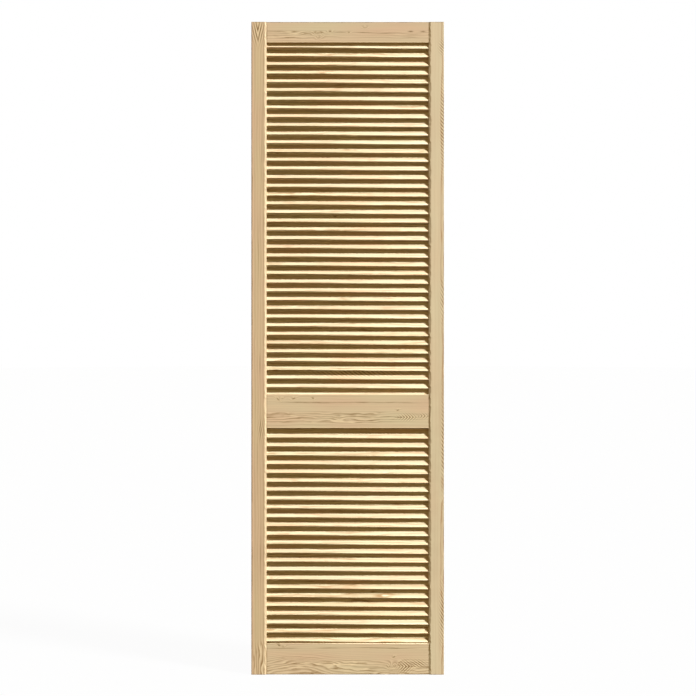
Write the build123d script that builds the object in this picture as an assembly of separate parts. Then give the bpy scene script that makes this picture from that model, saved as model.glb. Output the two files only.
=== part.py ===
from build123d import *

import math
import os

# A louvred door leaf in bare pine: two stiles, three rails and two fields of fixed slats.
# Millimetres. X runs across the leaf, Y from its front face to its back, Z up.
# The origin is the middle of the leaf's foot.

# Leaf
leaf_width = 594.0
leaf_height = 2013.0
leaf_thickness = 21.0

# Stiles, with a shallow bevel down both inner edges that ends level with the rails' faces
stile_width = 47.0
bevel_width = 6.3
bevel_depth = 1.6
stile_arris = 1.0

# Rails
top_rail_height = 63.0
mid_rail_height = 103.7
bottom_rail_height = 95.2
lower_field_height = 665.1
rail_arris = 1.0
tenon_thickness = 8.0
tenon_length = 30.0
tenon_inset = 12.0

# Slats, sloping down to the front face
slat_width = 35.0
slat_thickness = 6.0
slat_crown = 1.6
slat_angle = 68.0
slat_tongue = 10.0
upper_slats = 41
upper_first_drop = 2.9
upper_last_rise = 7.15
slats_in_upper_file = 2
lower_slats = 24
lower_top_gap = 0.8
lower_foot_gap = 2.1
slats_in_lower_file = 1

# Fits
pocket_clearance = 0.1
pocket_end_gap = 0.3
ripped_gap = 0.2
tenon_clearance = 0.1
tenon_end_gap = 0.3

# Worked out from the sizes above
inner_edge = leaf_width / 2 - stile_width
rail_thickness = leaf_thickness - 2 * bevel_depth
mid_rail_foot = bottom_rail_height + lower_field_height
mid_rail_top = mid_rail_foot + mid_rail_height
top_rail_foot = leaf_height - top_rail_height
nose_radius = (slat_crown**2 + (slat_thickness / 2) ** 2) / (2 * slat_crown)


def slat_outline():
    """Section of a slat lying along X: two flats joined by a rounded nose at each long edge."""
    tip = slat_width / 2
    shoulder = tip - slat_crown
    side = slat_thickness / 2
    outline = [
        Line((-shoulder, side), (shoulder, side)),
        ThreePointArc((shoulder, side), (tip, 0), (shoulder, -side)),
        Line((shoulder, -side), (-shoulder, -side)),
        ThreePointArc((-shoulder, -side), (-tip, 0), (-shoulder, side)),
    ]
    return make_face(outline)


def pocket_outline():
    """The slat's section with its clearance, each round end taken as three flats around the nose."""
    side = slat_thickness / 2 + pocket_clearance
    tip = slat_width / 2 + pocket_clearance
    slant = slat_width / 2 - nose_radius + (nose_radius + pocket_clearance) * math.sqrt(2)
    corners = [(tip, slant - tip), (slant - side, side)]
    corners += [(-x, y) for x, y in reversed(corners)]
    corners += [(-x, -y) for x, y in corners]
    return make_face(Polyline(*corners, close=True))


def half_height():
    """Half of a tilted slat's height, from its middle to its highest point."""
    lean = math.radians(slat_angle)
    return (slat_width / 2 - nose_radius) * math.sin(lean) + nose_radius


def field_places(foot, top, first_drop, last_rise, count):
    """Where each slat of a field goes, evenly spaced from the top down: its middle, and the rails' edges.

    An end slat whose middle lies nearer a rail than half its height is ripped along that rail.
    """
    pitch = (top - foot - first_drop - last_rise) / (count - 1)
    return [(top - first_drop - i * pitch, foot, top) for i in range(count)]


def tilted(outline, middle, foot, top):
    """A section set at its height and angle, and ripped level where it runs past the foot or top."""
    section = Pos(0, middle) * Rot(0, 0, slat_angle) * outline
    reach = half_height() + pocket_clearance
    if middle - reach < foot or middle + reach > top:
        section &= Pos(0, (foot + top) / 2) * Rectangle(2 * slat_width, top - foot)
    return section


def slat(middle, foot, top):
    """One slat, with both its tongues."""
    section = tilted(slat_outline(), middle, foot + ripped_gap, top - ripped_gap)
    return extrude(Plane.YZ * section, amount=inner_edge + slat_tongue, both=True)


def slat_pocket(middle, foot, top):
    """The slanted blind pocket for a slat's tongue in the right stile's inner edge."""
    section = tilted(pocket_outline(), middle, foot, top)
    return Pos(inner_edge, 0, 0) * extrude(Plane.YZ * section, amount=slat_tongue + pocket_end_gap)


def tenon(foot, top, side, clearance=0.0, end_gap=0.0):
    """A rail's tenon on one side, or with gaps given, the mortise that takes it."""
    length = tenon_length + end_gap
    height = top - foot - 2 * tenon_inset
    block = Box(length, tenon_thickness + 2 * clearance, height + 2 * clearance)
    return Pos(side * (inner_edge + length / 2), 0, (foot + top) / 2) * block


def right_stile():
    """The stile at +X, with its bevels, slat pockets and mortises."""
    outer = leaf_width / 2
    face = leaf_thickness / 2
    level = rail_thickness / 2
    profile = Polyline(
        (inner_edge, -level),
        (inner_edge + bevel_width, -face),
        (outer, -face),
        (outer, face),
        (inner_edge + bevel_width, face),
        (inner_edge, level),
        close=True,
    )
    blank = extrude(make_face(profile), amount=leaf_height)
    blank = chamfer(blank.edges().filter_by(Axis.Z).group_by(Axis.X)[-1], stile_arris)
    pockets = [slat_pocket(*place) for place in upper_places + lower_places]
    mortises = [tenon(foot, top, 1, tenon_clearance, tenon_end_gap) for foot, top in rails.values()]
    return blank - pockets - mortises


def rail(foot, top):
    """A rail with its long arrises eased and a tenon at each end."""
    height = top - foot
    blank = Pos(0, 0, foot + height / 2) * Box(2 * inner_edge, rail_thickness, height)
    blank = chamfer(blank.edges().filter_by(Axis.X), rail_arris)
    return blank + tenon(foot, top, -1) + tenon(foot, top, 1)


def slat_nodes(name, places, in_file):
    """A field's slats by node name, in_file of them to each node."""
    nodes = {}
    for start in range(0, len(places), in_file):
        solids = [slat(*place) for place in places[start : start + in_file]]
        numbers = "_".join(f"{start + i + 1:02d}" for i in range(len(solids)))
        nodes[f"{name}_{numbers}"] = solids[0] if len(solids) == 1 else Compound(children=solids)
    return nodes


rails = {
    "rail_top": (top_rail_foot, leaf_height),
    "rail_mid": (mid_rail_foot, mid_rail_top),
    "rail_bottom": (0.0, bottom_rail_height),
}
upper_places = field_places(
    mid_rail_top, top_rail_foot, upper_first_drop, upper_last_rise, upper_slats
)
lower_places = field_places(
    bottom_rail_height,
    mid_rail_foot,
    half_height() + lower_top_gap,
    half_height() + lower_foot_gap,
    lower_slats,
)

parts = {"stile_right": right_stile()}
parts["stile_left"] = mirror(parts["stile_right"], about=Plane.YZ)
for name, span in rails.items():
    parts[name] = rail(*span)
parts.update(slat_nodes("upper_slat", upper_places, slats_in_upper_file))
parts.update(slat_nodes("lower_slat", lower_places, slats_in_lower_file))

os.makedirs("parts", exist_ok=True)
for name, part in parts.items():
    export_step(part, f"parts/{name}.step")
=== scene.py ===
"""Looks of a louvred door leaf in bare pine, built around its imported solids.

Metres, Z up, front face towards -Y, origin at the middle of the leaf's foot.
"""

import logging
import math
import random
from dataclasses import dataclass, field
from enum import Enum

import bmesh
import bpy
from mathutils import Matrix, Vector, noise


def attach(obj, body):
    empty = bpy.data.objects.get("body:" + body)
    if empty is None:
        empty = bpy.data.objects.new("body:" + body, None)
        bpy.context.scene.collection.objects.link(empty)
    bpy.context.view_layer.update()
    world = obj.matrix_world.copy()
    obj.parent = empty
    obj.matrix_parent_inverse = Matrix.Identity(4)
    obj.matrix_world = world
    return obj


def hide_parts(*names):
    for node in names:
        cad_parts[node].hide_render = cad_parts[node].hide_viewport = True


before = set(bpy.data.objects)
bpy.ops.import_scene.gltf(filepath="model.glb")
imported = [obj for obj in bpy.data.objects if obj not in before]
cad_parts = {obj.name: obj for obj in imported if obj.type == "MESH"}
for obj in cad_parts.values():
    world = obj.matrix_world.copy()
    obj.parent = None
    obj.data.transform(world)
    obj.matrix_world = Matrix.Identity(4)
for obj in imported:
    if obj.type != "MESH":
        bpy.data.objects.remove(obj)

log = logging.getLogger("louvred_door")

Colour = tuple[float, float, float]
Stops = tuple[tuple[float, float], ...]
Socket = bpy.types.NodeSocket
Value = float | Socket

AXIS_X = 0
AXIS_Z = 2
UP = (0.0, 0.0, 1.0)

# Two places closer than this are the same one, and an edge this much along an axis runs along it
TOLERANCE = 1e-5
PARALLEL = 0.999

# Four-sided faces narrower than this belong to roundings, and are shaded smooth
SMOOTH_BELOW = 0.0016

# How far apart the slats' boards lie in the pattern, so that no two are alike
BOARD_SPACING = 2.0

# Where a Mix node has its sockets for colours
MIX_SHARE, MIX_FIRST, MIX_SECOND, MIX_RESULT = 0, 6, 7, 2


def srgb(red: float, green: float, blue: float) -> Colour:
    """Turns a display colour, 0 to 255, into a linear one, 0 to 1."""

    def linear(value: float) -> float:
        """One channel's linear value."""
        share = value / 255
        return share / 12.92 if share <= 0.04045 else ((share + 0.055) / 1.055) ** 2.4

    return linear(red), linear(green), linear(blue)


class Grain(Enum):
    """Which way a board's grain runs, and so how its pattern is turned."""

    ALONG_LEAF = (math.pi / 2, 0.0, math.pi / 2)
    ACROSS_LEAF = (-math.pi / 2, 0.0, 0.0)
    WITH_PIECE = (0.0, 0.0, 0.0)


class Side(Enum):
    """The two edges of the leaf, by the sign of X."""

    LEFT = -1
    RIGHT = 1


@dataclass(frozen=True)
class Leaf:
    """Sizes that the leaf's pieces share."""

    width: float = 0.594
    height: float = 2.013
    thickness: float = 0.021
    stile_width: float = 0.047
    bevel_width: float = 0.0063
    bevel_depth: float = 0.0016
    top_rail: float = 0.063
    mid_rail: float = 0.1037
    bottom_rail: float = 0.0952
    lower_field: float = 0.6651
    slat_width: float = 0.035
    slat_thickness: float = 0.006
    slat_crown: float = 0.0016
    slat_slope: float = math.radians(68)
    upper_slats: int = 41
    upper_first_drop: float = 0.0029
    upper_last_rise: float = 0.00715
    lower_slats: int = 24
    lower_top_gap: float = 0.0008
    lower_foot_gap: float = 0.0021

    @property
    def inner_edge(self) -> float:
        """Half the clear width between the stiles."""
        return self.width / 2 - self.stile_width

    @property
    def rail_thickness(self) -> float:
        """Thickness of the rails, level with the foot of the bevels."""
        return self.thickness - 2 * self.bevel_depth

    @property
    def slat_half_height(self) -> float:
        """Half the height of a slat as it stands in its field."""
        radius = (self.slat_crown**2 + (self.slat_thickness / 2) ** 2) / (2 * self.slat_crown)
        return (self.slat_width / 2 - radius) * math.sin(self.slat_slope) + radius


@dataclass(frozen=True)
class Pattern:
    """A noise over a board.

    By is its repeats to the metre along, across and through the board, detail its octaves, and offset what
    it adds to the board's seed.
    """

    by: Colour
    detail: float = 1.0
    offset: float = 0.0


class Graph:
    """A material's nodes, with short calls for those that the pine needs."""

    def __init__(self, name: str) -> None:
        """Starts an empty material called name."""
        self.material = bpy.data.materials.new(name)
        self.material.use_nodes = True
        self.tree = self.material.node_tree
        self.tree.nodes.clear()

    def node(self, kind: str, **settings: object) -> bpy.types.Node:
        """Adds a node of one of Blender's kinds, with these properties."""
        made = self.tree.nodes.new(kind)
        for name, value in settings.items():
            setattr(made, name, value)
        return made

    def feed(self, socket: Socket, value: object) -> None:
        """Links a socket into an input, or sets the input's own number, vector or colour."""
        if isinstance(value, Socket):
            self.tree.links.new(value, socket)
        elif isinstance(value, tuple) and len(value) == 3 and socket.type == "RGBA":
            socket.default_value = (*value, 1.0)
        else:
            socket.default_value = value

    def math(self, operation: str, *values: Value, clamp: bool = False) -> Socket:
        """A Math node's result from values in order, held between 0 and 1 if clamp is set."""
        made = self.node("ShaderNodeMath", operation=operation, use_clamp=clamp)
        for socket, value in zip(made.inputs, values):
            self.feed(socket, value)
        return made.outputs[0]

    def scaled(self, value: Value, by: Value, plus: Value, clamp: bool = False) -> Socket:
        """A value times a second, plus a third."""
        return self.math("MULTIPLY_ADD", value, by, plus, clamp=clamp)

    def stretch(self, vector: Socket, by: Colour) -> Socket:
        """A vector with each of its parts multiplied by a number."""
        made = self.node("ShaderNodeVectorMath", operation="MULTIPLY")
        self.feed(made.inputs[0], vector)
        self.feed(made.inputs[1], by)
        return made.outputs[0]

    def noise(self, vector: Socket, pattern: Pattern, seed: float = 0.0) -> Socket:
        """Smooth noise from -0.5 to 0.5, at a place in metres on the board with a seed."""
        made = self.node("ShaderNodeTexNoise", noise_dimensions="4D")
        self.feed(made.inputs["Vector"], self.stretch(vector, pattern.by))
        made.inputs["W"].default_value = seed + pattern.offset
        made.inputs["Scale"].default_value = 1.0
        made.inputs["Detail"].default_value = pattern.detail
        return self.math("SUBTRACT", made.outputs["Fac"], 0.5)

    def curve(self, value: Value, stops: Stops, smooth: bool = True) -> Socket:
        """A number looked up along a ramp of stops, each a position and a number."""
        made = self.node("ShaderNodeValToRGB")
        ramp = made.color_ramp
        ramp.interpolation = "EASE" if smooth else "LINEAR"
        while len(ramp.elements) < len(stops):
            ramp.elements.new(1.0)
        for element, (position, number) in zip(ramp.elements, stops):
            element.position = position
            element.color = (number, number, number, 1.0)
        self.feed(made.inputs["Fac"], value)
        return made.outputs["Color"]

    def mix(self, share: Value, first: object, second: object, blend: str = "MIX") -> Socket:
        """Two colours or sockets mixed, with a share from 0 to 1 of the second."""
        made = self.node("ShaderNodeMix", data_type="RGBA", blend_type=blend, clamp_factor=True)
        self.feed(made.inputs[MIX_SHARE], share)
        self.feed(made.inputs[MIX_FIRST], first)
        self.feed(made.inputs[MIX_SECOND], second)
        return made.outputs[MIX_RESULT]


@dataclass(frozen=True)
class Spot:
    """An oval place on a board's face.

    Along and across are its middle in metres from the board's centre, length and breadth are how far it
    reaches, and lean is the angle between its length and the grain.
    """

    along: float
    across: float
    length: float = 0.020
    breadth: float = 0.008
    lean: float = 0.0

    def near(self, graph: Graph, along: Value, across: Value, spread: float = 1.0) -> Socket:
        """How near a point is to the spot, from 1 in its middle to 0. Spread widens its reach."""
        square: Value = 0.0
        turned = ((math.cos(self.lean), math.sin(self.lean)), (-math.sin(self.lean), math.cos(self.lean)))
        for (first, second), reach in zip(turned, (self.length * spread, self.breadth * spread)):
            middle = -(first * self.along + second * self.across) / reach
            part = graph.scaled(across, second / reach, middle)
            part = graph.scaled(along, first / reach, part)
            square = graph.scaled(part, part, square)
        return graph.math("EXPONENT", graph.math("MULTIPLY", square, -1.0))


@dataclass(frozen=True)
class Knot(Spot):
    """A pin knot, or a place where the growth rings swirl as they pass one.

    Swirl is how many rings are pushed aside, and core how dark its heart is.
    """

    swirl: float = 2.0
    core: float = 0.0


@dataclass(frozen=True)
class Streak(Spot):
    """A darker place: a streak of late or resinous wood, a broad stretch, or painted shade along an edge or
    bevel.
    """

    length: float = 0.060
    breadth: float = 0.0016
    depth: float = 0.5


@dataclass(frozen=True)
class PaleAndHighlight(Spot):
    """A pale place, such as an arris that sanding has worn pale, or a painted highlight on a lit bevel."""

    depth: float = 0.5


@dataclass(frozen=True)
class Comb(Spot):
    """A patch of short strokes, where the fibres dip into the face.

    Pitch is from one stroke to the next, and slant the angle between the strokes and the grain. A folded
    comb's strokes meet in chevrons along its middle.
    """

    pitch: float = 0.010
    slant: float = 1.0
    depth: float = 0.5
    folded: bool = False
    stroke_stops: Stops = ((0.0, 0.0), (0.3, 1.0), (0.6, 0.0), (1.0, 0.0))
    between_stops: Stops = ((0.0, 0.1), (0.5, 0.0), (0.8, 0.9), (1.0, 0.1))

    def strokes(self, graph: Graph, along: Value, across: Value) -> tuple[Socket, Socket]:
        """Two numbers, high in the strokes and in the pale wood between them, with no regard to reach."""
        off = across
        if self.folded:
            off = graph.math("ABSOLUTE", graph.math("SUBTRACT", across, self.across))
        run = graph.math("MULTIPLY", along, math.sin(self.slant) / self.pitch)
        run = graph.scaled(off, math.cos(self.slant) / self.pitch, run)
        turn = graph.math("FRACT", run)
        return graph.curve(turn, self.stroke_stops), graph.curve(turn, self.between_stops)


@dataclass(frozen=True)
class PineFinish:
    """Bare planed pine, with growth rings, fibre, knots, streaks and drifts of colour.

    Ring is the width of a growth ring, and pith_across and pith_depth say where the tree's heart lay. Drift
    bends the rings slowly, and figure and ripple bend them where the board is lively. The stops set where
    that is, and contrast, brightness and flecks how strongly it shows. Blush is the colour of pink clouds,
    resin that of dark marks and of painted shade along edges and bevels, and glint that of pale marks and
    of a painted highlight on a lit bevel.
    """

    name: str
    grain: Grain
    length: float
    breadth: float
    early: Colour
    late: Colour
    blush: Colour
    ring: float
    pith_across: float
    pith_depth: float
    figure_by: Colour
    seed: float
    centre: tuple[float, float, float] = (0.0, 0.0, 0.0)
    # The colours of dark marks and painted shade, and of pale marks and a painted highlight
    resin_and_shade: Colour = srgb(128, 100, 60)
    pale_and_highlight: Colour = srgb(242, 224, 186)
    blush_amount: float = 0.5
    blush_swing: float = 3.2
    blush_stops: Stops = ((0.0, 0.0), (1.0, 0.0))
    drift: float = 0.020
    figure: float = 3.0
    ripple: float = 0.0044
    dark_stops: Stops = ((0.0, 0.0), (0.38, 0.06), (0.64, 0.60), (0.80, 1.0), (0.92, 0.35), (1.0, 0.0))
    pale_stops: Stops = ((0.0, 0.6), (0.12, 1.0), (0.36, 0.3), (0.56, 0.0), (0.90, 0.0), (1.0, 0.6))
    across_stops: Stops = ((0.0, 1.0), (1.0, 1.0))
    along_stops: Stops = ((0.0, 1.0), (1.0, 1.0))
    patch_swing: float = 2.4
    patch_level: float = 0.85
    least_lively: float = 0.1
    knot_reach: float = 1.1
    contrast: float = 0.75
    brightness: float = 0.40
    flecks: float = 5.0
    fleck_floor: float = 0.5
    fibre_shade: float = 0.10
    band_shade: float = 0.16
    marks: tuple[Spot, ...] = ()
    waver: float = 0.004
    break_swing: float = 2.4
    heart_reach: float = 0.38
    halo_reach: float = 0.8
    most_marked: float = 0.9
    end_facing: float = 0.8
    end_amount: float = 0.55
    end_colour: Colour = srgb(176, 138, 96)
    specular: float = 0.32
    roughness: float = 0.72
    ring_gloss: float = 0.10
    bump_strength: float = 0.25
    bump_distance: float = 0.0004
    ring_relief: float = 0.35
    drifts: Pattern = Pattern((2.4, 7.0, 7.0), 1.5)
    clouds: Pattern = Pattern((4.5, 22.0, 22.0), 1.0, 1.9)
    patches: Pattern = Pattern((16.0, 75.0, 75.0), 1.0, 2.7)
    ripples: Pattern = Pattern((22.0, 90.0, 90.0), 2.5, 3.1)
    breaks: Pattern = Pattern((24.0, 20.0, 20.0), 2.0, 4.4)
    fibres: Pattern = Pattern((9.0, 620.0, 620.0), 2.0, 5.7)
    specks: Pattern = Pattern((24.0, 170.0, 170.0), 1.5, 7.3)
    wavers: Pattern = Pattern((14.0, 40.0, 40.0), 2.0, 8.4)
    bands: Pattern = Pattern((3.0, 70.0, 70.0), 2.0, 9.3)

    @property
    def waves(self) -> Pattern:
        """How the figure repeats."""
        return Pattern(self.figure_by, detail=1.0, offset=6.2)

    def place(self, graph: Graph) -> Socket:
        """Place on the board: along, across and through it, in metres from its centre."""
        if self.grain is Grain.WITH_PIECE:
            return graph.node("ShaderNodeAttribute", attribute_name="board").outputs["Vector"]
        turn = graph.node("ShaderNodeMapping", vector_type="POINT")
        about_x, _, about_z = self.grain.value
        rotation = Matrix.Rotation(about_z, 4, "Z") @ Matrix.Rotation(about_x, 4, "X")
        turn.inputs["Rotation"].default_value = self.grain.value
        turn.inputs["Location"].default_value = -(rotation @ Vector(self.centre))
        graph.feed(turn.inputs["Vector"], graph.node("ShaderNodeTexCoord").outputs["Object"])
        return turn.outputs["Vector"]

    def share_across(self, graph: Graph, across: Value) -> Socket:
        """Place across the board as a share of its breadth."""
        return graph.scaled(across, 1 / self.breadth, 0.5, clamp=True)

    def lively(self, graph: Graph, board: Value, along: Value, across: Value) -> Socket:
        """How strongly the growth rings show at a point.

        Args:
            graph: The material's nodes.
            board: Place on the board.
            along: Its first part.
            across: Its second part.

        Returns:
            0 where the wood is plain, about 1 where it is lively.
        """
        share_along = graph.scaled(along, 1 / self.length, 0.5, clamp=True)
        patch = graph.noise(board, self.patches, self.seed)
        patch = graph.scaled(patch, self.patch_swing, self.patch_level)
        level = graph.curve(self.share_across(graph, across), self.across_stops)
        level = graph.math("MULTIPLY", level, graph.curve(share_along, self.along_stops))
        shown = graph.math("MULTIPLY", level, graph.math("MAXIMUM", patch, self.least_lively))
        for knot in self.marks:
            if isinstance(knot, Knot):
                shown = graph.math("MAXIMUM", shown, knot.near(graph, along, across, self.knot_reach))
        return shown

    def rings(
        self, graph: Graph, board: Value, along: Value, across: Value, through: Value, lively: Value
    ) -> tuple[Socket, Socket]:
        """The growth rings as the saw cut them, bent by knots and by wavy fibre.

        Args:
            graph: The material's nodes.
            board: Place on the board.
            along: Its first part.
            across: Its second part.
            through: Its third part.
            lively: How wavy the rings are.

        Returns:
            Two numbers from 0 to 1: one high in the dark edge of each ring, one in the pale wood beside it.
        """
        drift = graph.noise(board, self.drifts, self.seed)
        figure = graph.noise(board, self.waves, self.seed)
        ripple = graph.noise(board, self.ripples, self.seed)
        off = graph.math("SUBTRACT", across, self.pith_across)
        off = graph.scaled(drift, self.drift, off)
        deep = graph.math("ADD", through, self.pith_depth)
        square = graph.scaled(off, off, graph.math("MULTIPLY", deep, deep))
        reach = graph.math("SQRT", square)
        reach = graph.scaled(graph.math("MULTIPLY", ripple, lively), self.ripple, reach)
        phase = graph.math("DIVIDE", reach, self.ring)
        phase = graph.scaled(graph.math("MULTIPLY", figure, lively), self.figure, phase)
        for knot in self.marks:
            if isinstance(knot, Knot):
                phase = graph.scaled(knot.near(graph, along, across), knot.swirl, phase)
        turn = graph.math("FRACT", phase)
        dark = graph.curve(turn, self.dark_stops, smooth=False)
        pale = graph.curve(turn, self.pale_stops, smooth=False)
        return dark, pale

    def stains_shade_and_highlights(self, graph: Graph, board: Value, along: Value, across: Value) -> tuple[Value, Value]:
        """Knot hearts, streaks, sanded arrises, painted shade and highlights, and combed fibre.

        Args:
            graph: The material's nodes.
            board: Place on the board.
            along: Its first part.
            across: Its second part.

        Returns:
            How much dark colour shows, for stains and painted shade, and how much pale, painted highlight
            included.
        """
        waver = graph.noise(board, self.wavers, self.seed)
        waved = graph.scaled(waver, self.waver, across)
        broken = graph.noise(board, self.breaks, self.seed)
        broken = graph.scaled(broken, self.break_swing, 1.0)
        stain_and_shade: Value = 0.0
        pale_and_highlight_share: Value = 0.0
        for mark in self.marks:
            if isinstance(mark, PaleAndHighlight):
                pale_and_highlight_share = graph.scaled(mark.near(graph, along, across), mark.depth, pale_and_highlight_share)
            elif isinstance(mark, Streak):
                shown = graph.math("MULTIPLY", mark.near(graph, along, waved), broken)
                stain_and_shade = graph.scaled(shown, mark.depth, stain_and_shade)
            elif isinstance(mark, Knot) and mark.core:
                heart = mark.near(graph, along, across, self.heart_reach)
                halo = mark.near(graph, along, across, self.halo_reach)
                stain_and_shade = graph.scaled(heart, mark.core, stain_and_shade)
                pale_and_highlight_share = graph.scaled(halo, mark.core / 2, pale_and_highlight_share)
            elif isinstance(mark, Comb):
                stroke, between = mark.strokes(graph, along, waved)
                reach = graph.math("MULTIPLY", mark.near(graph, along, across), mark.depth)
                stain_and_shade = graph.scaled(stroke, reach, stain_and_shade)
                pale_and_highlight_share = graph.scaled(between, reach, pale_and_highlight_share)
        return stain_and_shade, pale_and_highlight_share

    def build(self) -> bpy.types.Material:
        """Makes the material."""
        graph = Graph(self.name)
        board = self.place(graph)
        split = graph.node("ShaderNodeSeparateXYZ")
        graph.feed(split.inputs[0], board)
        along, across, through = split.outputs
        lively = self.lively(graph, board, along, across)
        rings, pale = self.rings(graph, board, along, across, through, lively)
        fibre = graph.noise(board, self.fibres, self.seed)
        band = graph.noise(board, self.bands, self.seed)
        cloud = graph.noise(board, self.clouds, self.seed)

        share = graph.scaled(cloud, self.blush_swing * self.blush_amount, self.blush_amount)
        edge = graph.curve(self.share_across(graph, across), self.blush_stops)
        colour = graph.mix(graph.math("ADD", share, edge, clamp=True), self.early, self.blush)
        share = graph.math("MULTIPLY", graph.math("MULTIPLY", pale, lively), self.brightness, clamp=True)
        colour = graph.mix(share, colour, self.pale_and_highlight)
        share = graph.math("MULTIPLY", graph.math("MULTIPLY", rings, lively), self.contrast, clamp=True)
        colour = graph.mix(share, colour, self.late)
        fleck = graph.math("MULTIPLY", graph.noise(board, self.specks, self.seed), lively)
        for by, spot in ((self.flecks, self.pale_and_highlight), (-self.flecks, self.late)):
            share = graph.scaled(fleck, by, -self.fleck_floor, clamp=True)
            colour = graph.mix(share, colour, spot)
        colour = self.tint(graph, colour, board)
        shade = graph.scaled(fibre, self.fibre_shade, 1.0)
        shade = graph.scaled(band, self.band_shade, shade)
        shades = graph.node("ShaderNodeCombineColor")
        for socket in shades.inputs:
            graph.feed(socket, shade)
        colour = graph.mix(1.0, colour, shades.outputs[0], "MULTIPLY")
        if self.marks:
            stain_and_shade, pale_and_highlight_share = self.stains_shade_and_highlights(graph, board, along, across)
            # Pale marks and a painted highlight go on first, then stains and painted shade
            colour = graph.mix(graph.math("MINIMUM", pale_and_highlight_share, self.most_marked), colour, self.pale_and_highlight)
            colour = graph.mix(graph.math("MINIMUM", stain_and_shade, self.most_marked), colour, self.resin_and_shade)
        self.surface(graph, self.end_grain(graph, colour), rings, fibre)
        return graph.material

    def surface(self, graph: Graph, colour: Socket, rings: Socket, fibre: Socket) -> None:
        """Ends the material with its gloss, and the relief of its fibre and harder rings."""
        shader = graph.node("ShaderNodeBsdfPrincipled")
        shader.inputs["Specular IOR Level"].default_value = self.specular
        graph.feed(shader.inputs["Base Color"], colour)
        roughness = graph.scaled(rings, -self.ring_gloss, self.roughness)
        graph.feed(shader.inputs["Roughness"], roughness)
        bump = graph.node("ShaderNodeBump")
        bump.inputs["Strength"].default_value = self.bump_strength
        bump.inputs["Distance"].default_value = self.bump_distance
        graph.feed(bump.inputs["Height"], graph.scaled(rings, self.ring_relief, fibre))
        graph.feed(shader.inputs["Normal"], bump.outputs["Normal"])
        output = graph.node("ShaderNodeOutputMaterial")
        graph.feed(output.inputs["Surface"], shader.outputs["BSDF"])

    def tint(self, graph: Graph, colour: Socket, board: Socket) -> Socket:
        """The board's own shade, which a finish for many pieces varies. This one adds none."""
        return colour

    def end_grain(self, graph: Graph, colour: Socket) -> Socket:
        """Darkens the colour on the faces that the grain runs into."""
        if self.grain is Grain.WITH_PIECE:
            return colour
        facing = graph.node("ShaderNodeSeparateXYZ")
        graph.feed(facing.inputs[0], graph.node("ShaderNodeNewGeometry").outputs["Normal"])
        axis = AXIS_Z if self.grain is Grain.ALONG_LEAF else AXIS_X
        ends = graph.math("GREATER_THAN", graph.math("ABSOLUTE", facing.outputs[axis]), self.end_facing)
        return graph.mix(graph.math("MULTIPLY", ends, self.end_amount), colour, self.end_colour)


@dataclass(frozen=True)
class SlatFinish(PineFinish):
    """Pine for slats cut from many boards, each with a shade of its own."""

    pale: Colour = srgb(214, 201, 172)
    pale_amount: float = 0.55
    rosy: Colour = srgb(212, 180, 145)
    rosy_swing: float = 3.0
    rosy_level: float = 0.12
    rosy_patches: Pattern = Pattern((5.0, 45.0, 45.0), 1.5, 12.5)

    def tint(self, graph: Graph, colour: Socket, board: Socket) -> Socket:
        """Mixes in the slat's own shade, and rosier stretches along it."""
        own = graph.node("ShaderNodeAttribute", attribute_name="shade").outputs["Fac"]
        colour = graph.mix(graph.math("MULTIPLY", own, self.pale_amount), colour, self.pale)
        patch = graph.noise(board, self.rosy_patches)
        share = graph.scaled(patch, self.rosy_swing, self.rosy_level, clamp=True)
        return graph.mix(share, colour, self.rosy)


def new_object(name: str, mesh: bmesh.types.BMesh, material: bpy.types.Material) -> bpy.types.Object:
    """Turns a bmesh into an object, its broad faces flat and its small rounded ones smooth.

    Args:
        name: The object's name.
        mesh: The shape in place, freed here.
        material: Its finish.

    Returns:
        The object, at the origin.
    """
    bmesh.ops.recalc_face_normals(mesh, faces=mesh.faces)
    for face in mesh.faces:
        edges = sorted(edge.calc_length() for edge in face.edges)
        face.smooth = len(face.verts) == 4 and edges[0] < SMOOTH_BELOW
    data = bpy.data.meshes.new(name)
    mesh.to_mesh(data)
    mesh.free()
    data.materials.append(material)
    made = bpy.data.objects.new(name, data)
    bpy.context.scene.collection.objects.link(made)
    return made


def ease(mesh: bmesh.types.BMesh, edges: list[bmesh.types.BMEdge], by: float, segments: int) -> None:
    """Rounds edges.

    Args:
        mesh: The shape.
        edges: The edges to round.
        by: How far the rounding reaches from each edge, in metres.
        segments: Faces across the rounding.
    """
    bmesh.ops.bevel(
        mesh,
        geom=edges,
        offset=by,
        offset_type="OFFSET",
        affect="EDGES",
        segments=segments,
        profile=0.5,
        material=-1,
        clamp_overlap=True,
    )


def is_along(edge: bmesh.types.BMEdge, axis: int) -> bool:
    """Whether an edge runs along an axis."""
    run = edge.verts[1].co - edge.verts[0].co
    return abs(run[axis]) > PARALLEL * run.length


def everything(mesh: bmesh.types.BMesh) -> list:
    """A mesh's vertices, edges and faces."""
    return list(mesh.verts) + list(mesh.edges) + list(mesh.faces)


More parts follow.
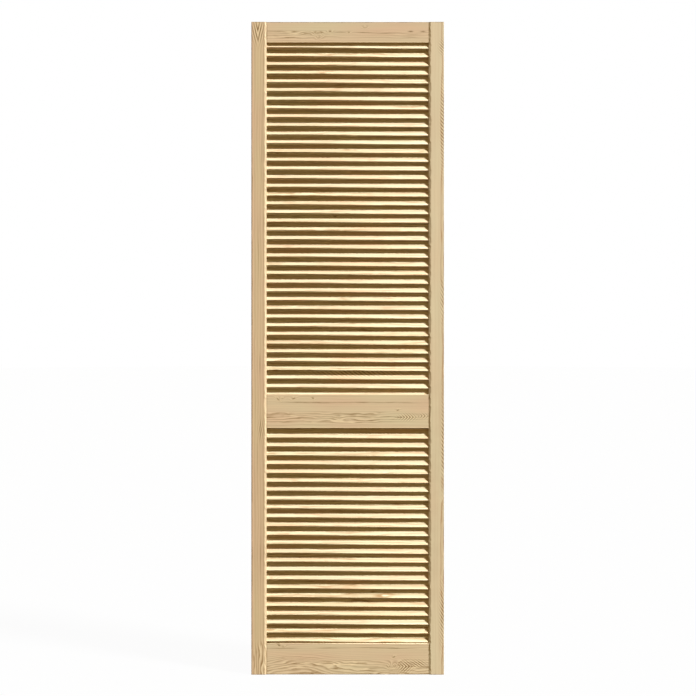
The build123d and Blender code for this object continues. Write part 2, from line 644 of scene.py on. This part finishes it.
@dataclass
class Stile:
    """One upright of the leaf, with a shallow bevel down both inner edges.

    The bevel's outer arris has points from first_point up, spacing apart, that stray as the waves say: each
    is its repeats to the metre and which pattern it takes. Near the stile's ends it runs straight.
    """

    side: Side
    leaf: Leaf
    outer_arris: float = 0.0010
    bevel_arris: float = 0.0004
    end_arris: float = 0.0003
    first_point: float = 0.006
    head_margin: float = 0.005
    spacing: float = 0.0067
    straight_end: float = 0.004
    arris_reach: float = 0.001
    wander: float = 0.0028
    waves: tuple[tuple[float, float], ...] = ((46.0, 3.3), (115.0, 7.1))
    between_faces: float = 20.0

    def section(self) -> list[tuple[float, float]]:
        """Corners of the stile's section, for the right-hand stile."""
        inner, outer = self.leaf.inner_edge, self.leaf.width / 2
        level, face = self.leaf.rail_thickness / 2, self.leaf.thickness / 2
        shoulder = inner + self.leaf.bevel_width
        front = [(inner, -level), (shoulder, -face), (outer, -face)]
        return front + [(x, -y) for x, y in reversed(front)]

    def build(self, material: bpy.types.Material) -> bpy.types.Object:
        """Makes the stile.

        Args:
            material: Its finish.

        Returns:
            The stile, riding on the leaf.
        """
        mesh = bmesh.new()
        corners = [mesh.verts.new((x * self.side.value, y, 0.0)) for x, y in self.section()]
        foot = mesh.faces.new(corners)
        grown = bmesh.ops.extrude_face_region(mesh, geom=[foot])
        head = [v for v in grown["geom"] if isinstance(v, bmesh.types.BMVert)]
        bmesh.ops.translate(mesh, vec=(0.0, 0.0, self.leaf.height), verts=head)
        uprights = [e for e in mesh.edges if is_along(e, AXIS_Z)]
        outer = [e for e in uprights if abs(e.verts[0].co.x) > self.leaf.width / 2 - TOLERANCE]
        ease(mesh, outer, self.outer_arris, segments=3)
        shoulder = self.leaf.inner_edge + self.leaf.bevel_width
        uprights = [e for e in mesh.edges if is_along(e, AXIS_Z)]
        broken = [e for e in uprights if abs(abs(e.verts[0].co.x) - shoulder) < TOLERANCE]
        ease(mesh, broken, self.bevel_arris, segments=2)
        top = self.leaf.height - TOLERANCE
        ends = [e for e in mesh.edges if all(v.co.z < TOLERANCE or v.co.z > top for v in e.verts)]
        ease(mesh, [e for e in ends if not is_along(e, AXIS_Z)], self.end_arris, segments=2)
        self.let_wander(mesh, shoulder)
        made = new_object(f"stile_{self.side.name.lower()}_pine", mesh, material)
        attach(made, "root")
        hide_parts(f"stile_{self.side.name.lower()}")
        return made

    def let_wander(self, mesh: bmesh.types.BMesh, shoulder: float) -> None:
        """Lets the bevel's outer arris, at shoulder from the leaf's middle, stray as a cutter leaves it."""
        height = self.first_point
        while height < self.leaf.height - self.head_margin:
            bmesh.ops.bisect_plane(mesh, geom=everything(mesh), plane_co=(0.0, 0.0, height), plane_no=UP)
            height += self.spacing
        for vert in mesh.verts:
            between = self.straight_end < vert.co.z < self.leaf.height - self.straight_end
            if between and abs(abs(vert.co.x) - shoulder) < self.arris_reach:
                vert.co.x += self.wander * sum(self.stray(vert.co, *wave) for wave in self.waves)

    def stray(self, place: Vector, repeats: float, pattern: float) -> float:
        """A number from -1 to 1 that changes smoothly up a stile, and differs by side and face."""
        at = (self.side.value * pattern, place.y * self.between_faces, place.z * repeats)
        return noise.noise(Vector(at))


@dataclass
class Rail:
    """A crosspiece between the stiles."""

    name: str
    foot: float
    height: float
    leaf: Leaf
    upper_arris: float = 0.0003
    lower_arris: float = 0.0003

    def build(self, material: bpy.types.Material) -> bpy.types.Object:
        """Makes the rail.

        Args:
            material: Its finish.

        Returns:
            The rail, riding on the leaf.
        """
        mesh = bmesh.new()
        bmesh.ops.create_cube(mesh, size=1.0)
        size = (2 * self.leaf.inner_edge, self.leaf.rail_thickness, self.height)
        bmesh.ops.scale(mesh, vec=size, verts=mesh.verts)
        middle = self.foot + self.height / 2
        bmesh.ops.translate(mesh, vec=(0.0, 0.0, middle), verts=mesh.verts)
        upper = [e for e in mesh.edges if is_along(e, AXIS_X) and e.verts[0].co.z > middle]
        ease(mesh, upper, self.upper_arris, segments=3)
        foot = self.foot + TOLERANCE
        lower = [e for e in mesh.edges if is_along(e, AXIS_X) and e.verts[0].co.z < foot]
        ease(mesh, lower, self.lower_arris, segments=3)
        made = new_object(f"{self.name}_pine", mesh, material)
        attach(made, "root")
        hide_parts(self.name)
        return made


@dataclass
class SlatField:
    """A field of fixed slats between two rails, sloping down to the front.

    First_drop and last_rise go from the rails' edges to the middles of the first and last slats, and
    first_board is the number of the first slat's board. A slat is board_shift along it at the most.
    """

    name: str
    foot: float
    top: float
    first_drop: float
    last_rise: float
    count: int
    in_node: int
    first_board: int
    leaf: Leaf
    nose_reach: float = 0.0042
    nose_share: float = 0.996
    nose_segments: int = 7
    tongue: float = 0.0015
    clearance: float = 0.0002
    board_shift: float = 0.05

    @property
    def pitch(self) -> float:
        """Height from one slat to the next."""
        return (self.top - self.foot - self.first_drop - self.last_rise) / (self.count - 1)

    def slat(self, mesh: bmesh.types.BMesh, number: int, chance: random.Random) -> None:
        """Adds one bull-nosed slat to a mesh.

        Args:
            mesh: The mesh that takes it.
            number: The slat's number from the top, from 0.
            chance: Source of the slat's own shade and figure.
        """
        made = bmesh.new()
        board = made.verts.layers.float_vector.new("board")
        shade = made.verts.layers.float.new("shade")
        bmesh.ops.create_cube(made, size=1.0)
        round_reach = self.leaf.slat_thickness / 2
        flat = self.leaf.slat_width - 2 * self.nose_reach
        size = (2 * (self.leaf.inner_edge + self.tongue), flat + 2 * round_reach, self.leaf.slat_thickness)
        bmesh.ops.scale(made, vec=size, verts=made.verts)
        long_edges = [e for e in made.edges if is_along(e, AXIS_X)]
        ease(made, long_edges, round_reach * self.nose_share, self.nose_segments)
        for side in (-1, 1):
            nose = [vert for vert in made.verts if vert.co.y * side > flat / 2]
            bmesh.ops.scale(
                made,
                vec=(1.0, self.nose_reach / round_reach, 1.0),
                space=Matrix.Translation((0.0, -side * flat / 2, 0.0)),
                verts=nose,
            )
        turned = Matrix.Translation((0.0, 0.0, self.top - self.first_drop - number * self.pitch))
        turned @= Matrix.Rotation(self.leaf.slat_slope, 4, "X")
        bmesh.ops.transform(made, matrix=turned, verts=made.verts)
        for height, outward in ((self.foot + self.clearance, -1.0), (self.top - self.clearance, 1.0)):
            self.rip(made, height, outward)
        shift = chance.uniform(-self.board_shift, self.board_shift)
        offset = Vector((BOARD_SPACING * (self.first_board + number), 0.0, shift))
        back = turned.inverted()
        tone = chance.random()
        for vert in made.verts:
            vert[board] = back @ vert.co + offset
            vert[shade] = tone
        scratch = bpy.data.meshes.new("slat")
        made.to_mesh(scratch)
        made.free()
        mesh.from_mesh(scratch)
        bpy.data.meshes.remove(scratch)

    def rip(self, made: bmesh.types.BMesh, height: float, outward: float) -> None:
        """Rips a slat level at a height: what is above goes if outward is 1, what is below if it is -1."""
        if not any((vert.co.z - height) * outward > 0 for vert in made.verts):
            return
        cut = bmesh.ops.bisect_plane(
            made,
            geom=everything(made),
            plane_co=(0.0, 0.0, height),
            plane_no=(0.0, 0.0, outward),
            clear_outer=True,
        )
        rim = [e for e in cut["geom_cut"] if isinstance(e, bmesh.types.BMEdge)]
        bmesh.ops.edgeloop_fill(made, edges=rim)

    def build(self, material: bpy.types.Material) -> list[bpy.types.Object]:
        """Makes every slat, grouped as the solids' nodes are.

        Args:
            material: Their finish.

        Returns:
            The groups, riding on the leaf.
        """
        chance = random.Random(self.first_board)
        groups = []
        for start in range(0, self.count, self.in_node):
            numbers = range(start, min(start + self.in_node, self.count))
            mesh = bmesh.new()
            for number in numbers:
                self.slat(mesh, number, chance)
            node = f"{self.name}_" + "_".join(f"{number + 1:02d}" for number in numbers)
            made = new_object(f"{node}_pine", mesh, material)
            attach(made, "root")
            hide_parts(node)
            groups.append(made)
        return groups


@dataclass
class Studio:
    """Pale floor, soft key and fill lights, white surroundings and the camera."""

    leaf: Leaf
    key_from: Vector = field(default_factory=lambda: Vector((2.9, -1.0, 3.65)))
    key_power: float = 10.0
    key_size: float = math.radians(6)
    rear_from: Vector = field(default_factory=lambda: Vector((-1.5, 2.5, 0.12)))
    rear_power: float = 2.4
    rear_size: float = math.radians(25)
    ambient: float = 0.28
    ambient_tint: Colour = (1.0, 0.69, 0.30)
    floor_radius: float = 40.0
    floor_sides: int = 96
    floor_drop: float = 0.0005
    floor_matt: float = 0.01
    floor_glow: float = 0.965
    sensor: float = 36.0
    camera_distance: float = 2.3
    camera_side: float = 0.0011
    camera_height: float = 1.0073
    seen_height: float = 2.1458

    def sun(self, name: str, towards: Vector, power: float, size: float) -> bpy.types.Object:
        """Adds a distant light with a power and an angular size, in the direction towards it."""
        data = bpy.data.lights.new(name, "SUN")
        data.energy = power
        data.angle = size
        made = bpy.data.objects.new(name, data)
        made.rotation_euler = towards.to_track_quat("Z", "Y").to_euler()
        bpy.context.scene.collection.objects.link(made)
        return made

    def surroundings(self) -> None:
        """White to the camera, and a faint even fill to everything else."""
        world = bpy.data.worlds.new("studio")
        bpy.context.scene.world = world
        world.use_nodes = True
        tree = world.node_tree
        tree.nodes.clear()
        fill = tree.nodes.new("ShaderNodeBackground")
        fill.inputs["Strength"].default_value = self.ambient
        seen = tree.nodes.new("ShaderNodeBackground")
        path = tree.nodes.new("ShaderNodeLightPath")
        either = tree.nodes.new("ShaderNodeMixShader")
        output = tree.nodes.new("ShaderNodeOutputWorld")
        fill.inputs["Color"].default_value = (*self.ambient_tint, 1.0)
        seen.inputs["Color"].default_value = (1.0, 1.0, 1.0, 1.0)
        tree.links.new(path.outputs["Is Camera Ray"], either.inputs[0])
        tree.links.new(fill.outputs[0], either.inputs[1])
        tree.links.new(seen.outputs[0], either.inputs[2])
        tree.links.new(either.outputs[0], output.inputs["Surface"])

    def floor(self) -> bpy.types.Object:
        """Adds the pale floor, which throws no light back up at the leaf."""
        mesh = bmesh.new()
        bmesh.ops.create_circle(mesh, cap_ends=True, radius=self.floor_radius, segments=self.floor_sides)
        graph = Graph("studio_floor")
        matt = graph.node("ShaderNodeBsdfDiffuse")
        matt.inputs["Color"].default_value = (self.floor_matt, self.floor_matt, self.floor_matt, 1.0)
        glow = graph.node("ShaderNodeEmission")
        glow.inputs["Strength"].default_value = self.floor_glow
        both = graph.node("ShaderNodeAddShader")
        graph.feed(both.inputs[0], matt.outputs[0])
        graph.feed(both.inputs[1], glow.outputs[0])
        output = graph.node("ShaderNodeOutputMaterial")
        graph.feed(output.inputs["Surface"], both.outputs[0])
        made = new_object("studio_floor", mesh, graph.material)
        made.location.z = -self.floor_drop
        made.visible_diffuse = False
        made.visible_glossy = False
        return made

    def camera(self) -> bpy.types.Object:
        """Adds the camera, square to the leaf and about level with its middle."""
        data = bpy.data.cameras.new("camera")
        data.sensor_width = self.sensor
        data.lens = self.sensor / 2 * self.camera_distance / (self.seen_height / 2)
        made = bpy.data.objects.new("camera", data)
        front = -self.leaf.thickness / 2
        made.location = (self.camera_side, front - self.camera_distance, self.camera_height)
        made.rotation_euler = (math.pi / 2, 0.0, 0.0)
        bpy.context.scene.collection.objects.link(made)
        bpy.context.scene.camera = made
        return made

    def build(self) -> None:
        """Sets the whole studio up."""
        self.surroundings()
        self.sun("key", self.key_from, self.key_power, self.key_size)
        self.sun("rear_fill", self.rear_from, self.rear_power, self.rear_size)
        self.floor()
        self.camera()
        bpy.context.scene.view_settings.view_transform = "Standard"


# The shade at a stile's head and foot, and on a rail at its joint with the left stile
STILE_ENDS = (
    Streak(1.0062, 0.0, 0.0014, 0.060, depth=0.6),
    Streak(-1.0062, 0.0, 0.0016, 0.060, depth=0.5),
)
JOINT_SHADE = Streak(-0.2495, 0.0, 0.0014, 0.200, depth=0.6)


def stile_finishes(leaf: Leaf) -> dict[Side, PineFinish]:
    """The two stiles' finishes.

    Args:
        leaf: The leaf's sizes.

    Returns:
        A finish for each side.
    """
    middle = leaf.inner_edge + leaf.stile_width / 2
    shared = {"grain": Grain.ALONG_LEAF, "length": leaf.height, "breadth": leaf.stile_width}
    left = PineFinish(
        name="pine_stile_left",
        centre=(-middle, 0.0, leaf.height / 2),
        **shared,
        early=srgb(211, 195, 154),
        late=srgb(152, 121, 79),
        blush=srgb(214, 183, 154),
        blush_stops=((0.0, 0.4), (0.14, 0.4), (0.22, 0.0), (1.0, 0.0)),
        brightness=0.6,
        ring=0.0080,
        pith_across=-0.04,
        pith_depth=0.02,
        figure_by=(14.0, 50.0, 50.0),
        along_stops=((0.0, 1.3), (0.042, 1.2), (0.055, 0.2), (0.5, 0.25), (1.0, 0.2)),
        marks=(
            Comb(0.976, -0.003, 0.030, 0.018, pitch=0.0072, slant=-0.22, depth=1.4, folded=True),
            Comb(-0.250, 0.0070, 0.030, 0.0090, pitch=0.0062, slant=-0.15, depth=0.7),
            # Painted highlight on the inner bevel, where the key light falls
            PaleAndHighlight(0.0, 0.0205, 1.4, 0.0030, depth=0.6),
            *STILE_ENDS,
            Streak(-0.052, 0.003, 0.035, depth=0.5),
            Streak(-0.250, 0.004, 0.035, depth=0.5),
            Streak(-0.330, -0.004, 0.050, depth=0.3),
            Streak(0.300, -0.002, 0.090, depth=0.3),
            Streak(0.620, 0.009, 0.120, depth=0.3),
            Streak(-0.620, 0.006, 0.090, depth=0.35),
            Streak(-0.600, 0.0, 0.500, 0.060, depth=0.04),
            PaleAndHighlight(0.0, -0.0180, 1.4, 0.0016, depth=0.35),
            # Painted shade along the outer arris, and along both edges of the lit inner bevel
            Streak(0.0, -0.0215, 1.4, 0.0014, depth=0.75),
            Streak(0.0, 0.0152, 1.4, 0.0016, depth=0.35),
            Streak(0.0, 0.0235, 1.4, 0.0008, depth=0.50),
        ),
        seed=2.0,
    )
    right = PineFinish(
        name="pine_stile_right",
        centre=(middle, 0.0, leaf.height / 2),
        **shared,
        early=srgb(223, 215, 182),
        late=srgb(178, 134, 92),
        blush=srgb(223, 205, 173),
        ring=0.0095,
        pith_across=0.06,
        pith_depth=0.02,
        figure=1.4,
        figure_by=(9.0, 14.0, 14.0),
        across_stops=((0.0, 0.1), (0.68, 0.12), (0.84, 1.0), (1.0, 1.0)),
        marks=(
            Comb(0.928, 0.0175, 0.020, 0.0085, pitch=0.0062, slant=0.75, depth=1.0),
            Comb(-0.825, 0.0175, 0.085, 0.0070, pitch=0.0068, slant=0.55, depth=0.9),
            Comb(0.150, 0.0180, 0.060, 0.0055, pitch=0.0070, slant=0.5, depth=0.7),
            Comb(0.690, 0.0190, 0.110, 0.0055, pitch=0.0072, slant=0.7, depth=1.2),
            Comb(-0.300, 0.0195, 0.120, 0.0045, pitch=0.0074, slant=0.6, depth=0.8),
            Streak(-0.420, 0.0, 0.500, 0.060, depth=0.08),
            # Painted shade on the inner bevel, which faces away from the key light
            Streak(0.0, -0.0225, 1.6, 0.0012, depth=0.50),
            Streak(0.0, -0.0190, 1.6, 0.0013, depth=0.25),
            Streak(0.0, 0.0150, 1.6, 0.0009, depth=0.12),
            # Painted shade along the outer arris
            Streak(0.0, 0.0222, 1.6, 0.0016, depth=0.45),
            *STILE_ENDS,
            Knot(0.150, 0.024, 0.045, 0.009, swirl=1.5),
            Knot(-0.420, 0.024, 0.060, 0.010, swirl=1.5),
        ),
        seed=17.0,
    )
    return {Side.LEFT: left, Side.RIGHT: right}


def rail_figure(name: str) -> dict[str, object]:
    """What sets a rail's finish apart: its seed, where its grain is lively, and its marks."""
    if name == "rail_top":
        return {
            "seed": 44.0,
            "across_stops": ((0.0, 0.3), (0.14, 0.5), (0.24, 1.3), (0.54, 1.3), (0.6, 0.12), (1.0, 0.1)),
            "along_stops": ((0.0, 1.0), (0.33, 1.0), (0.44, 0.35), (1.0, 0.35)),
            "marks": (
                Knot(-0.0544, 0.0025, 0.010, 0.0055, swirl=1.6, core=0.8),
                Knot(-0.0915, -0.0035, 0.016, 0.0070, swirl=2.2, core=0.35),
                Knot(-0.0880, -0.0155, 0.012, 0.0060, lean=0.5, swirl=1.6, core=0.5),
                Knot(0.0040, -0.0010, 0.008, 0.0045, swirl=1.0, core=0.7),
                Knot(0.0535, 0.0155, 0.010, 0.0060, swirl=1.2, core=0.4),
                Streak(-0.020, 0.0010, 0.025, depth=0.5),
                Streak(0.053, -0.0010, 0.024, depth=0.5),
                Streak(0.118, -0.0035, 0.034, depth=0.45),
                Streak(0.195, 0.0020, 0.007, 0.0020, depth=0.9),
                Streak(0.232, 0.0020, 0.007, 0.0020, depth=0.8),
                Streak(0.205, -0.0080, 0.022, 0.0013, depth=0.45),
                Streak(0.195, -0.0145, 0.030, 0.0013, depth=0.35),
                # Painted shade along the leaf's top edge, like that at the stiles' heads
                Streak(0.0, 0.0310, 1.0, 0.0012, depth=0.6),
                PaleAndHighlight(0.0, -0.0302, 1.0, 0.0012, depth=0.6),
                JOINT_SHADE,
            ),
        }
    if name == "rail_mid":
        return {
            "seed": 37.0,
            "across_stops": (
                (0.0, 0.2), (0.1, 0.4), (0.18, 1.0), (0.44, 1.0), (0.52, 0.12), (0.7, 0.12), (1.0, 0.3)
            ),
            "along_stops": ((0.0, 1.0), (0.65, 1.0), (0.75, 0.5), (1.0, 0.4)),
            "marks": (
                Knot(-0.2150, 0.0375, 0.014, 0.0050, lean=-0.8, swirl=1.0, core=0.8),
                Knot(-0.2020, 0.0400, 0.008, 0.0050, swirl=0.8, core=0.5),
                Knot(-0.1660, 0.0395, 0.014, 0.0060, lean=0.5, swirl=1.0, core=0.75),
                Knot(-0.1070, 0.0400, 0.008, 0.0050, lean=-0.6, swirl=0.8, core=0.65),
                Knot(0.1550, 0.0035, 0.010, 0.0050, lean=0.4, swirl=0.8, core=0.9),
                Comb(0.1860, -0.0185, 0.024, 0.0085, pitch=0.0062, slant=0.75, depth=1.3, folded=True),
                Comb(0.2340, -0.0145, 0.014, 0.0070, pitch=0.0062, slant=0.75, depth=1.0, folded=True),
                Streak(0.1570, -0.0188, 0.012, 0.0013, depth=0.8),
                Streak(0.1250, -0.0157, 0.018, 0.0012, depth=0.6),
                Streak(-0.155, 0.0270, 0.040, depth=0.6),
                Streak(-0.080, 0.0265, 0.040, depth=0.6),
                Streak(0.020, 0.0270, 0.070, depth=0.5),
                Streak(0.140, 0.0265, 0.090, depth=0.45),
                Streak(0.060, -0.0170, 0.030, depth=0.5),
                PaleAndHighlight(0.0, -0.0505, 1.0, 0.0012, depth=0.7),
                JOINT_SHADE,
            ),
        }
    return {
        "seed": 30.0,
        "across_stops": ((0.0, 1.0), (0.44, 1.0), (0.52, 0.12), (0.78, 0.12), (0.86, 0.4), (1.0, 0.35)),
        "marks": (
            Knot(-0.2120, 0.0425, 0.012, 0.0060, lean=-0.6, swirl=1.0, core=0.9),
            Knot(-0.1990, 0.0385, 0.012, 0.0060, swirl=1.2, core=0.4),
            Knot(0.1430, 0.0070, 0.010, 0.0050, lean=0.5, swirl=0.8, core=0.9),
            Knot(-0.1500, -0.0200, 0.110, 0.0400, swirl=-3.5),
            Knot(0.1455, -0.0240, 0.015, 0.0135, swirl=4.6),
            Comb(0.1780, -0.0230, 0.018, 0.0150, pitch=0.0064, slant=0.75, depth=1.5, folded=True),
            Comb(0.2150, -0.0140, 0.022, 0.0095, pitch=0.0064, slant=0.60, depth=1.5),
            Streak(-0.205, 0.0335, 0.045, depth=0.6),
            Streak(-0.048, 0.0340, 0.045, depth=0.6),
            Streak(0.070, 0.0345, 0.060, depth=0.45),
            Streak(0.150, 0.0325, 0.045, depth=0.5),
            # Painted shade along the leaf's foot, like that at the stiles' feet
            Streak(0.0, -0.0468, 1.0, 0.0014, depth=0.7),
            JOINT_SHADE,
        ),
    }


def rail_finish(rail: Rail) -> PineFinish:
    """A rail's finish, from what all rails share and what sets this one apart."""
    return PineFinish(
        name=f"pine_{rail.name}",
        grain=Grain.ACROSS_LEAF,
        centre=(0.0, 0.0, rail.foot + rail.height / 2),
        length=2 * rail.leaf.inner_edge,
        breadth=rail.height,
        ring=0.0074,
        pith_across=-0.075,
        pith_depth=0.02,
        drift=0.012,
        figure=3.4,
        figure_by=(13.0, 55.0, 55.0),
        early=srgb(217, 208, 172),
        late=srgb(152, 124, 84),
        blush=srgb(220, 193, 162),
        blush_amount=0.6,
        contrast=0.70,
        brightness=0.45,
        flecks=6.0,
        **rail_figure(rail.name),
    )


def slat_finish(leaf: Leaf) -> SlatFinish:
    """The finish that all slats share, with the marks of a few single ones.

    Args:
        leaf: The leaf's sizes.

    Returns:
        The finish.
    """
    return SlatFinish(
        name="pine_slats",
        grain=Grain.WITH_PIECE,
        length=1.0,
        breadth=leaf.slat_width,
        early=srgb(211, 205, 170),
        late=srgb(162, 130, 88),
        blush=srgb(210, 192, 157),
        ring=0.0075,
        pith_across=-0.04,
        pith_depth=0.03,
        figure=2.4,
        figure_by=(5.0, 30.0, 30.0),
        contrast=0.9,
        brightness=0.3,
        marks=(
            Comb(38 * BOARD_SPACING + 0.025, 0.005, 0.130, 0.012, pitch=0.0080, slant=0.6, depth=0.7),
            Knot(20 * BOARD_SPACING - 0.039, 0.004, 0.014, 0.0070, swirl=1.5, core=0.8),
            Streak(4 * BOARD_SPACING + 0.174, 0.006, 0.020, 0.0022, depth=0.8),
            Knot(76 * BOARD_SPACING - 0.235, -0.010, 0.016, 0.0080, swirl=2.0, core=0.4),
        ),
        seed=60.0,
    )


def main() -> None:
    """Builds the leaf and the studio round it."""
    logging.basicConfig(level=logging.INFO, format="%(name)s: %(message)s")
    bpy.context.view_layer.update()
    leaf = Leaf()

    for side, finish in stile_finishes(leaf).items():
        made = Stile(side, leaf).build(finish.build())
        log.info("%s, %d faces", made.name, len(made.data.polygons))

    mid_foot = leaf.bottom_rail + leaf.lower_field
    mid_top = mid_foot + leaf.mid_rail
    top_foot = leaf.height - leaf.top_rail
    rails = (
        Rail("rail_bottom", 0.0, leaf.bottom_rail, leaf, upper_arris=0.0007),
        Rail("rail_mid", mid_foot, leaf.mid_rail, leaf),
        Rail("rail_top", top_foot, leaf.top_rail, leaf),
    )
    for rail in rails:
        made = rail.build(rail_finish(rail).build())
        log.info("%s, %d faces", made.name, len(made.data.polygons))

    slat_pine = slat_finish(leaf).build()
    half = leaf.slat_half_height
    fields = (
        SlatField(
            name="upper_slat",
            foot=mid_top,
            top=top_foot,
            first_drop=leaf.upper_first_drop,
            last_rise=leaf.upper_last_rise,
            count=leaf.upper_slats,
            in_node=2,
            first_board=0,
            leaf=leaf,
        ),
        SlatField(
            name="lower_slat",
            foot=leaf.bottom_rail,
            top=mid_foot,
            first_drop=half + leaf.lower_top_gap,
            last_rise=half + leaf.lower_foot_gap,
            count=leaf.lower_slats,
            in_node=1,
            first_board=60,
            leaf=leaf,
        ),
    )
    for slats in fields:
        made = slats.build(slat_pine)
        log.info("%s, %d slats in %d groups", slats.name, slats.count, len(made))

    Studio(leaf).build()


if __name__ == "__main__":
    main()
